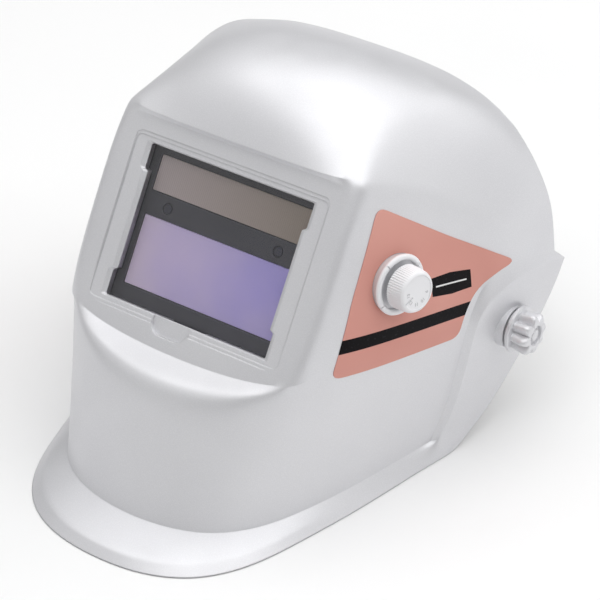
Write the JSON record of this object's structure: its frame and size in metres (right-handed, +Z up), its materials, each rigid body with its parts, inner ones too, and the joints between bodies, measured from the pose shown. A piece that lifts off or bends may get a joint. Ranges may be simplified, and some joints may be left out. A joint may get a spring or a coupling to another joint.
{
  "type": "welding helmet",
  "caption": "Auto-darkening welding helmet: one-piece shell with a lipped chin, a framed darkening filter, a side shade control, ear pivots and adjustable ratchet headgear.",
  "frame": {"origin": "centre of the helmet's footprint, at the level of the shell's lower rim", "axes": "+X to the wearer's left, -Y the way the wearer looks, +Z up as the helmet stands on its lower rim"},
  "size_m": [0.2498, 0.3329, 0.1989],
  "materials": {
    "shell_plastic": "satin silver-white moulded nylon",
    "white_plastic": "satin",
    "black_case": "satin black",
    "grey_plastic": "satin dark grey",
    "headgear_plastic": "satin black",
    "sweatband_fabric": "foam-backed fabric",
    "clear_lens": "clear polycarbonate",
    "filter_glass": "violet interference-coated glass",
    "shutter_glass": "polished",
    "solar_panel": "polished silicon behind film",
    "sensor_glass": "polished",
    "circuit_board": "satin solder mask",
    "plated_steel": "zinc plated",
    "decal_film": "satin printed film"
  },
  "bodies": {
    "shell": {"helmet_shell": "shell_plastic", "cover_lens": "clear_lens", "filter_holder": "shell_plastic", "holder_screw_1": "plated_steel", "holder_screw_2": "plated_steel", "holder_screw_3": "plated_steel", "holder_screw_4": "plated_steel", "filter_case_front": "black_case", "solar_cell": "solar_panel", "uv_ir_glass": "filter_glass", "light_sensor_left": "sensor_glass", "light_sensor_right": "sensor_glass", "filter_case_back": "black_case", "lcd_shutter": "shutter_glass", "circuit_board": "circuit_board", "inner_lens": "clear_lens", "retaining_frame": "black_case", "shade_bezel": "white_plastic", "shade_pot_nut": "plated_steel", "shade_pot": "plated_steel", "shade_cover": "black_case", "shade_cable": "black_case", "side_decal_left": "decal_film", "side_decal_right": "decal_film", "thrust_washer_left": "plated_steel", "thrust_washer_right": "plated_steel"},
    "headgear": {"headband_front": "headgear_plastic", "sweatband": "sweatband_fabric", "side_arm_left": "headgear_plastic", "side_arm_right": "headgear_plastic", "arm_rivet_left": "headgear_plastic", "arm_rivet_right": "headgear_plastic", "pivot_stud_left": "plated_steel", "pivot_stud_right": "plated_steel", "tilt_stop_left": "black_case", "tilt_stop_right": "black_case", "friction_washer_left": "grey_plastic", "friction_washer_right": "grey_plastic", "crown_strap_left": "headgear_plastic", "crown_strap_right": "headgear_plastic", "crown_peg_1": "headgear_plastic", "crown_peg_2": "headgear_plastic", "rear_strap_left": "headgear_plastic", "rear_strap_right": "headgear_plastic"},
    "nape_unit": {"ratchet_base": "headgear_plastic", "ratchet_cover": "headgear_plastic", "nape_pad": "sweatband_fabric"},
    "nape_dial": {"ratchet_pinion": "grey_plastic", "ratchet_knob": "headgear_plastic"},
    "ear_knob_left": {"tension_knob_left": "shell_plastic"},
    "ear_knob_right": {"tension_knob_right": "shell_plastic"},
    "shade_dial": {"shade_knob": "white_plastic", "shade_shaft": "plated_steel"},
    "latch_slide_left": {"latch_left": "grey_plastic"},
    "latch_slide_right": {"latch_right": "grey_plastic"},
    "sensitivity_control": {"sensitivity_dial": "grey_plastic"},
    "delay_control": {"delay_dial": "grey_plastic"}
  },
  "joints": [
    {"name": "headgear_tilt", "type": "hinge", "parent": "shell", "child": "headgear", "pos_m": [0, 0.0346, 0.0635], "axis": [1, 0, 0], "range_deg": [-30, 53]},
    {"name": "nape_adjust", "type": "slide", "parent": "headgear", "child": "nape_unit", "axis": [0, -0.9421, 0.3355], "range_m": [0, 0.01], "deforming": ["rear_strap_left", "rear_strap_right"]},
    {"name": "nape_dial_turn", "type": "hinge", "parent": "nape_unit", "child": "nape_dial", "pos_m": [0, 0.14275, 0.03662], "axis": [0, 0.9421, -0.3355], "range_deg": [-145.2, 0]},
    {"name": "ear_knob_left_turn", "type": "hinge", "parent": "headgear", "child": "ear_knob_left", "pos_m": [0.112, 0.0346, 0.0635], "axis": [1, 0, 0], "range_deg": [0, 270]},
    {"name": "ear_knob_right_turn", "type": "hinge", "parent": "headgear", "child": "ear_knob_right", "pos_m": [-0.112, 0.0346, 0.0635], "axis": [-1, 0, 0], "range_deg": [0, 270]},
    {"name": "shade_turn", "type": "hinge", "parent": "shell", "child": "shade_dial", "pos_m": [0.0845, -0.0336, 0.1177], "axis": [0.9679, -0.2207, 0.1204], "range_deg": [0, 270]},
    {"name": "latch_left_slide", "type": "slide", "parent": "shell", "child": "latch_slide_left", "axis": [-1, 0, 0], "range_m": [0, 0.004]},
    {"name": "latch_right_slide", "type": "slide", "parent": "shell", "child": "latch_slide_right", "axis": [1, 0, 0], "range_m": [0, 0.004]},
    {"name": "sensitivity_turn", "type": "hinge", "parent": "shell", "child": "sensitivity_control", "pos_m": [-0.025, -0.07558, 0.08295], "axis": [0, 0.848, -0.5299], "range_deg": [0, 270]},
    {"name": "delay_turn", "type": "hinge", "parent": "shell", "child": "delay_control", "pos_m": [0.025, -0.07558, 0.08295], "axis": [0, 0.848, -0.5299], "range_deg": [0, 270]}
  ],
  "couplings": [
    {"joint": "nape_dial_turn", "follows": "nape_adjust", "rad_per_m": -253.1}
  ]
}
